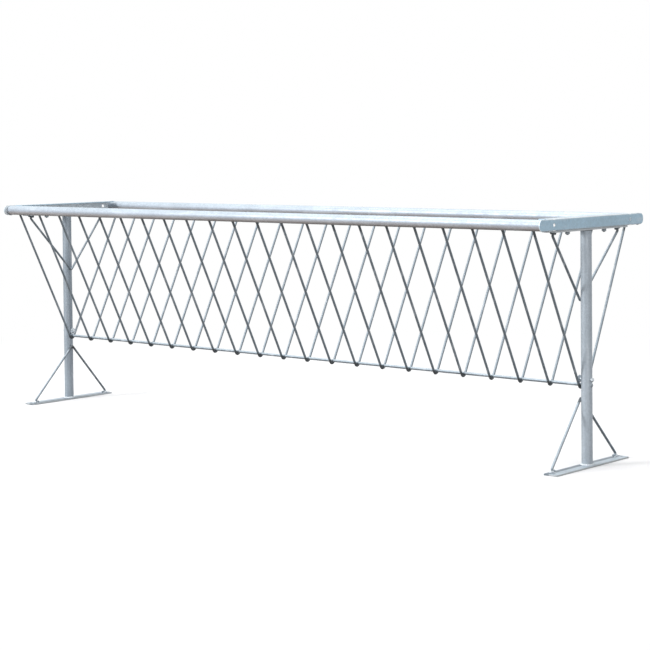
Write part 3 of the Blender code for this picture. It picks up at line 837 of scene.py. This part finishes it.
for end, sign in ends.items():
    size = fastener["flange"]
    for side in sides:
        corner = end + "_" + side
        bolt = "flange_bolt_" + corner
        seat = face(bolt, 2, 1) - (0, 0, size["head"])
        fastenerPiece(bolt, "_screw", boltShells(size, seat, (0, 0, 1)), shadedFastenerZinc)
        nut = "flange_nut_" + corner
        fastenerPiece(nut, "_hex", nutShells(size, face(nut, 2, 1), (0, 0, -1)), shadedFastenerZinc)
        washer = "flange_washer_" + corner
        fastenerPiece(washer, "_disc", washerShells(size, washer, (0, 0, -1)), shadedFastenerZinc)
    size = fastener["post"]
    outward = (sign, 0, 0)
    inward = (-sign, 0, 0)
    bolt = "post_bolt_" + end
    seat = face(bolt, 0, sign) - (sign * size["head"], 0, 0)
    fastenerPiece(bolt, "_screw", boltShells(size, seat, outward), fastenerZinc)
    nut = "post_nut_" + end
    fastenerPiece(nut, "_hex", nutShells(size, face(nut, 0, sign), inward), fastenerZinc)
    for washer in ("head_washer_" + end, "clamp_washer_" + end):
        fastenerPiece(washer, "_disc", washerShells(size, washer, outward), fastenerZinc)
print("fasteners made")


# Floor, light and camera

studio = {
    "floorRadius": 60.0, "floorPoints": 96, "floorTone": tone(251, 251, 252),
    "bounceTone": tone(110, 112, 116), "floorRoughness": 0.9, "floorGloss": 0.1,
    "fadeStart": 1.9, "fadeStop": 4.0, "worldStrength": 0.50, "aim": (0.0, 0.0, 0.5),
    "overhead": {"size": 8.0, "power": 440, "place": (-1.0, -0.5, 9.0)},
    "key": {"size": 5.0, "power": 1820, "place": (-7.0, -13.5, 7.0)},
    "fill": {"size": 6.0, "power": 240, "place": (11.0, -6.0, 3.5)},
}


def whiteToCamera(tree):
    # 1 for rays that show the backdrop to the camera, straight, in gloss or through glass, and else 0.
    path = addNode(tree, "ShaderNodeLightPath").outputs
    first = mathOf(tree, "MAXIMUM", path["Is Camera Ray"], path["Is Glossy Ray"])
    return mathOf(tree, "MAXIMUM", first, path["Is Transmission Ray"])


def floorMaterial():
    # A pale floor that takes shadows, and fades with the distance from the rack into plain white.
    material = bpy.data.materials.new("paleFloor")
    material.use_nodes = True
    tree = material.node_tree
    shader = tree.nodes["Principled BSDF"]
    shader.inputs["Roughness"].default_value = studio["floorRoughness"]
    shader.inputs["Specular IOR Level"].default_value = studio["floorGloss"]
    show = whiteToCamera(tree)
    colour = mixed(tree, "MIX", show, studio["bounceTone"], studio["floorTone"])
    tree.links.new(colour, shader.inputs["Base Color"])
    place = addNode(tree, "ShaderNodeTexCoord").outputs["Object"]
    distance = addNode(tree, "ShaderNodeVectorMath", {0: place}, operation="LENGTH").outputs["Value"]
    inputs = {"Value": distance, "From Min": studio["fadeStart"], "From Max": studio["fadeStop"]}
    fade = addNode(tree, "ShaderNodeMapRange", inputs, interpolation_type="SMOOTHSTEP")
    share = mathOf(tree, "MULTIPLY", fade.outputs["Result"], show)
    white = addNode(tree, "ShaderNodeEmission", {"Strength": 1.0})
    blend = addNode(tree, "ShaderNodeMixShader", {
        0: share, 1: shader.outputs["BSDF"], 2: white.outputs["Emission"]})
    tree.links.new(blend.outputs["Shader"], tree.nodes["Material Output"].inputs["Surface"])
    return material


def makeFloor():
    # A disc whose rim is P(angle) = radius (cos, sin, 0).
    count = studio["floorPoints"]
    angle = np.linspace(0, 2 * np.pi, count, endpoint=False)
    rim = np.column_stack([np.cos(angle), np.sin(angle), np.zeros(count)]) * studio["floorRadius"]
    mesh = bpy.data.meshes.new("studioFloor")
    mesh.from_pydata(rim, [], [list(range(count))])
    mesh.materials.append(floorMaterial())
    floor = bpy.data.objects.new("studioFloor", mesh)
    bpy.context.scene.collection.objects.link(floor)


def makeWorld():
    world = bpy.data.worlds.new("studioWorld")
    bpy.context.scene.world = world
    world.use_nodes = True
    tree = world.node_tree
    background = tree.nodes["Background"]
    background.inputs["Color"].default_value = (1.0, 1.0, 1.0, 1.0)
    strength = addNode(tree, "ShaderNodeMapRange", {
        "Value": whiteToCamera(tree), "To Min": studio["worldStrength"], "To Max": 1.0})
    tree.links.new(strength.outputs["Result"], background.inputs["Strength"])


def makeLamp(name):
    look = studio[name]
    lamp = bpy.data.lights.new(name, "AREA")
    lamp.shape = "DISK"
    lamp.size = look["size"]
    lamp.energy = look["power"]
    holder = bpy.data.objects.new(name, lamp)
    bpy.context.scene.collection.objects.link(holder)
    toward = np.array(studio["aim"]) - np.array(look["place"])
    holder.location = look["place"]
    holder.rotation_euler = Vector(toward.tolist()).to_track_quat("-Z", "Y").to_euler()


makeFloor()
makeWorld()
for lampName in ("overhead", "key", "fill"):
    makeLamp(lampName)

# A pinhole fitted to the rack's lines. The axis height is the picture row of the optical axis.
camera = {
    "place": (5.175519, -5.766828, 1.245432), "yaw": 40.92552, "pitch": 1.89730, "roll": -0.56319,
    "lens": 100.531, "sensor": 36.0, "axisHeight": 197.591, "imageSize": 650,
}


def makeCamera():
    yaw, pitch, roll = (math.radians(camera[key]) for key in ("yaw", "pitch", "roll"))
    forward = np.array([
        -math.sin(yaw) * math.cos(pitch), math.cos(yaw) * math.cos(pitch), -math.sin(pitch)])
    right = np.array([math.cos(yaw), math.sin(yaw), 0.0])
    up = np.cross(right, forward)
    rolledRight = right * math.cos(roll) + up * math.sin(roll)
    rolledUp = up * math.cos(roll) - right * math.sin(roll)
    data = bpy.data.cameras.new("photoCamera")
    data.lens = camera["lens"]
    data.sensor_width = camera["sensor"]
    data.shift_y = (camera["axisHeight"] - camera["imageSize"] / 2) / camera["imageSize"]
    holder = bpy.data.objects.new("photoCamera", data)
    bpy.context.scene.collection.objects.link(holder)
    turn = Matrix(np.column_stack([rolledRight, rolledUp, -forward]).tolist()).to_4x4()
    holder.matrix_world = Matrix.Translation(camera["place"]) @ turn
    bpy.context.scene.camera = holder


makeCamera()
bpy.context.scene.view_settings.view_transform = "Standard"
print("studio made")
